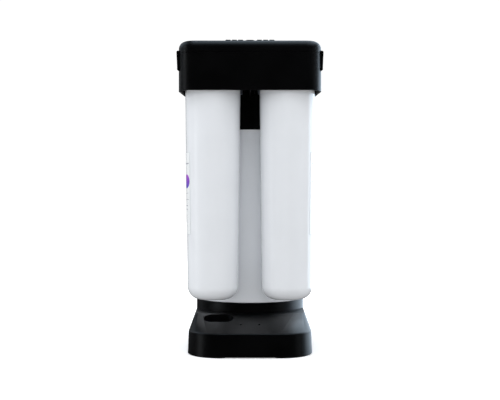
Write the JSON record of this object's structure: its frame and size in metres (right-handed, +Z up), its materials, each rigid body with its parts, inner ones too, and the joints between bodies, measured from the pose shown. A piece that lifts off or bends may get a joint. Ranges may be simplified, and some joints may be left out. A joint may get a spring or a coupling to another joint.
{
  "type": "countertop water dispenser",
  "caption": "Countertop water dispenser with a white tank column, a black head over side-by-side filter cartridges, a black base and a lever tap.",
  "frame": {"origin": "middle of the footprint, on the plane the feet stand on", "axes": "+Z up; the filter cartridges face -Y and the tap faces +Y; +X is to the right of someone looking at the cartridges"},
  "size_m": [0.176, 0.25, 0.3789],
  "materials": {
    "black_plastic": "satin moulded plastic",
    "latch_plastic": "smooth black plastic",
    "white_gloss": "glossy white plastic",
    "column_white": "satin white enamel",
    "trim_plastic": "glossy light grey",
    "cap_plastic": "glossy white plastic",
    "label_film": "printed film",
    "soft_rubber": "matt rubber",
    "zinc_steel": "zinc plated",
    "tap_chrome": "polished",
    "tank_steel": "powder coated",
    "blue_plastic": "tube grade polyethylene",
    "tube_white": "tube grade polyethylene",
    "grey_plastic": "moulded plastic",
    "core_plastic": "acetal",
    "carbon": "sintered carbon",
    "circuit_green": "solder mask"
  },
  "bodies": {
    "root": {"base_shell": "black_plastic", "base_collar": "black_plastic", "base_plate": "black_plastic", "rubber_feet": "soft_rubber", "base_screws": "zinc_steel", "inlet_fitting": "grey_plastic", "outlet_fitting": "grey_plastic", "port_o_rings": "soft_rubber", "column_shell": "column_white", "column_rim": "trim_plastic", "tank_stand": "grey_plastic", "water_tank": "tank_steel", "tie_rods": "zinc_steel", "tie_rod_nuts": "zinc_steel", "neck_ring": "black_plastic", "inlet_tube": "blue_plastic", "outlet_tube": "tube_white", "cross_tube": "tube_white", "tank_tube": "tube_white", "tap_tube": "tube_white", "head_body": "black_plastic", "lid_gasket": "soft_rubber", "socket_left": "black_plastic", "socket_right": "black_plastic", "socket_screws": "zinc_steel", "latch_pins": "zinc_steel", "latch_springs": "zinc_steel", "tap_body": "tap_chrome", "tap_washer": "soft_rubber", "tap_nut": "zinc_steel", "tap_elbow": "black_plastic", "tap_bonnet": "tap_chrome", "tap_spring": "zinc_steel", "tap_pin": "zinc_steel", "tap_aerator": "tap_chrome"},
    "lid": {"head_lid": "black_plastic", "filter_timer": "circuit_green", "button_spring": "zinc_steel"},
    "button": {"timer_button": "latch_plastic"},
    "latch_l": {"latch_left": "latch_plastic"},
    "latch_r": {"latch_right": "latch_plastic"},
    "core_l": {"valve_core_left": "core_plastic"},
    "core_r": {"valve_core_right": "core_plastic"},
    "cartridge_l": {"canister_left": "white_gloss", "neck_cap_left": "cap_plastic", "neck_o_rings_left": "soft_rubber", "label_left": "label_film", "carbon_block_left": "carbon", "end_caps_left": "cap_plastic"},
    "cartridge_r": {"canister_right": "white_gloss", "neck_cap_right": "cap_plastic", "neck_o_rings_right": "soft_rubber", "label_right": "label_film", "carbon_block_right": "carbon", "end_caps_right": "cap_plastic"},
    "collet_in": {"inlet_collet": "blue_plastic"},
    "collet_out": {"outlet_collet": "grey_plastic"},
    "stem": {"tap_stem": "tap_chrome", "tap_seal": "soft_rubber"},
    "lever": {"tap_lever": "tap_chrome"}
  },
  "joints": [
    {"name": "lid_lift", "type": "slide", "parent": "root", "child": "lid", "axis": [0, 0, 1], "range_m": [0, 0.05]},
    {"name": "timer_button_press", "type": "slide", "parent": "lid", "child": "button", "axis": [0, 0, -1], "range_m": [0, 0.0012], "stiffness_N_per_m": 400, "springref_m": -0.001, "deforming": ["button_spring"]},
    {"name": "latch_left_swing", "type": "hinge", "parent": "root", "child": "latch_l", "pos_m": [-0.08412, -0.09617, 0.3444], "axis": [-0.0745, -0.9972, 0], "range_deg": [0, 55], "stiffness_Nm_per_rad": 0.01, "springref_deg": -11.46},
    {"name": "latch_right_swing", "type": "hinge", "parent": "root", "child": "latch_r", "pos_m": [0.08412, -0.09617, 0.3444], "axis": [-0.0745, 0.9972, 0], "range_deg": [0, 55], "stiffness_Nm_per_rad": 0.01, "springref_deg": -11.46},
    {"name": "cartridge_left_turn", "type": "hinge", "parent": "root", "child": "core_l", "pos_m": [-0.0455, -0.085, 0.335], "axis": [0, 0, 1], "range_deg": [0, 90]},
    {"name": "cartridge_left_drop", "type": "slide", "parent": "core_l", "child": "cartridge_l", "axis": [0, 0, -1], "range_m": [0, 0.02]},
    {"name": "cartridge_right_turn", "type": "hinge", "parent": "root", "child": "core_r", "pos_m": [0.0455, -0.085, 0.335], "axis": [0, 0, 1], "range_deg": [0, 90]},
    {"name": "cartridge_right_drop", "type": "slide", "parent": "core_r", "child": "cartridge_r", "axis": [0, 0, -1], "range_m": [0, 0.02]},
    {"name": "inlet_collet_press", "type": "slide", "parent": "root", "child": "collet_in", "axis": [0, 0, -1], "range_m": [0, 0.0012], "stiffness_N_per_m": 300, "springref_m": -0.001},
    {"name": "outlet_collet_press", "type": "slide", "parent": "root", "child": "collet_out", "axis": [0, 0, -1], "range_m": [0, 0.0012], "stiffness_N_per_m": 300, "springref_m": -0.001},
    {"name": "tap_lever_press", "type": "hinge", "parent": "root", "child": "lever", "pos_m": [0, 0.106, 0.209], "axis": [-1, 0, 0], "range_deg": [0, 25]},
    {"name": "tap_stem_lift", "type": "slide", "parent": "root", "child": "stem", "axis": [0, 0, 1], "range_m": [0, 0.00305], "stiffness_N_per_m": 300, "springref_m": -0.0015, "deforming": ["tap_spring"]}
  ],
  "couplings": [
    {"joint": "tap_lever_press", "follows": "tap_stem_lift", "rad_per_m": 142.86}
  ]
}
